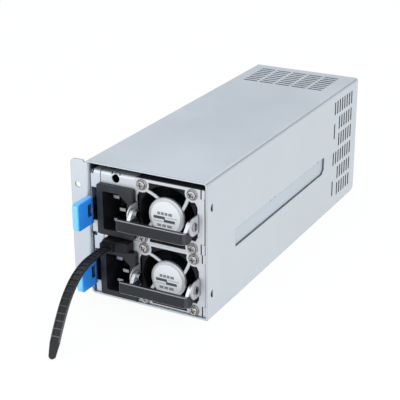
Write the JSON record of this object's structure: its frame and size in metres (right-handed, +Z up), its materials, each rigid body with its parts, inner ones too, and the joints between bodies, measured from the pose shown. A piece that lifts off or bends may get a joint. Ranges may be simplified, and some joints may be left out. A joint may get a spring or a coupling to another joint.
{
  "type": "redundant hot swap server power supply",
  "caption": "Sheet-metal cage with stacked pull-out power modules, each with a mains inlet, guarded fan, bail handle and release latch",
  "frame": {"origin": "middle of the cage's bottom face", "axes": "+X to the right seen from the front, away from the mounting ear; +Y to the rear panel; +Z up"},
  "size_m": [0.087, 0.3002, 0.082],
  "materials": {
    "zinc_sheet": "electro-galvanised sheet steel, satin, faint rolling grain",
    "case_sheet": "electro-galvanised sheet steel of the module cases",
    "rail_sheet": "galvanised rail and bracket sheet",
    "spring_steel": "hardened strip and pin, dull",
    "steel_screw": "nickel-plated screws and rivets",
    "black_moulding": "black moulded polyamide, fine texture",
    "fan_black": "black fan plastic",
    "handle_black": "black coated bail, satin",
    "latch_blue": "sky-blue moulded tab, satin gloss",
    "white_label": "matt white label, bare of text",
    "board_green": "green solder mask",
    "gold_contact": "gold-flashed contact fingers",
    "nickel_contact": "nickel-plated contact blades",
    "capacitor_sleeve": "dark sleeve over an aluminium can",
    "winding_copper": "enamelled copper winding on a ring core",
    "ferrite_black": "ferrite core with taped winding",
    "cooler_aluminium": "extruded aluminium cooler",
    "connector_black": "glass-filled connector body",
    "connector_white": "natural nylon header",
    "strap_nylon": "black nylon strap, slightly glossy"
  },
  "bodies": {
    "cage": {"cage_cover": "zinc_sheet", "cage_base": "zinc_sheet", "cage_rear": "zinc_sheet", "cable_bushing": "black_moulding", "middle_rails": "rail_sheet", "floor_guides": "rail_sheet", "backplane_board": "board_green", "backplane_brackets": "rail_sheet", "board_screws": "steel_screw", "backplane_connectors": "connector_black", "output_headers": "connector_white"},
    "module_upper": {"upper_front_plate": "zinc_sheet", "upper_case_base": "case_sheet", "upper_case_cover": "case_sheet", "upper_inlet_body": "black_moulding", "upper_inlet_pins": "nickel_contact", "upper_fan_frame": "fan_black", "upper_fan_screws": "steel_screw", "upper_guard_label": "white_label", "upper_handle_rivets": "steel_screw", "upper_latch_pin": "spring_steel", "upper_main_board": "board_green", "upper_edge_contacts": "gold_contact", "upper_bulk_capacitor": "capacitor_sleeve", "upper_line_filter": "winding_copper", "upper_transformer": "ferrite_black", "upper_heat_sinks": "cooler_aluminium", "upper_output_capacitors": "capacitor_sleeve"},
    "fan_upper": {"upper_fan_rotor": "fan_black"},
    "handle_upper": {"upper_handle": "handle_black"},
    "latch_upper": {"upper_latch_spring": "spring_steel", "upper_latch_tab": "latch_blue"},
    "module_lower": {"lower_front_plate": "zinc_sheet", "lower_case_base": "case_sheet", "lower_case_cover": "case_sheet", "lower_inlet_body": "black_moulding", "lower_inlet_pins": "nickel_contact", "lower_fan_frame": "fan_black", "lower_fan_screws": "steel_screw", "lower_guard_label": "white_label", "lower_handle_rivets": "steel_screw", "lower_latch_pin": "spring_steel", "lower_main_board": "board_green", "lower_edge_contacts": "gold_contact", "lower_bulk_capacitor": "capacitor_sleeve", "lower_line_filter": "winding_copper", "lower_transformer": "ferrite_black", "lower_heat_sinks": "cooler_aluminium", "lower_output_capacitors": "capacitor_sleeve", "tie_head": "strap_nylon", "tie_strap": "strap_nylon"},
    "fan_lower": {"lower_fan_rotor": "fan_black"},
    "handle_lower": {"lower_handle": "handle_black"},
    "latch_lower": {"lower_latch_spring": "spring_steel", "lower_latch_tab": "latch_blue"}
  },
  "joints": [
    {"name": "slide_upper", "type": "slide", "parent": "cage", "child": "module_upper", "axis": [0, -1, 0], "range_m": [0, 0.18]},
    {"name": "fan_upper_spin", "type": "hinge", "parent": "module_upper", "child": "fan_upper", "pos_m": [0.0133, -0.1015, 0.0584], "axis": [0, 1, 0], "continuous": true},
    {"name": "handle_upper_swing", "type": "hinge", "parent": "module_upper", "child": "handle_upper", "pos_m": [0.0133, -0.1165, 0.058], "axis": [-1, 0, 0], "range_deg": [-35, 90]},
    {"name": "latch_upper_press", "type": "hinge", "parent": "module_upper", "child": "latch_upper", "pos_m": [-0.0332, -0.0875, 0.0538], "axis": [0, 0, 1], "range_deg": [0, 5], "stiffness_Nm_per_rad": 1.5, "springref_deg": -1.72},
    {"name": "slide_lower", "type": "slide", "parent": "cage", "child": "module_lower", "axis": [0, -1, 0], "range_m": [0, 0.18]},
    {"name": "fan_lower_spin", "type": "hinge", "parent": "module_lower", "child": "fan_lower", "pos_m": [0.0133, -0.1003, 0.0199], "axis": [0, 1, 0], "continuous": true},
    {"name": "handle_lower_swing", "type": "hinge", "parent": "module_lower", "child": "handle_lower", "pos_m": [0.0133, -0.1153, 0.0195], "axis": [-1, 0, 0], "range_deg": [-35, 90]},
    {"name": "latch_lower_press", "type": "hinge", "parent": "module_lower", "child": "latch_lower", "pos_m": [-0.0332, -0.0863, 0.0153], "axis": [0, 0, 1], "range_deg": [0, 5], "stiffness_Nm_per_rad": 1.5, "springref_deg": -1.72}
  ]
}
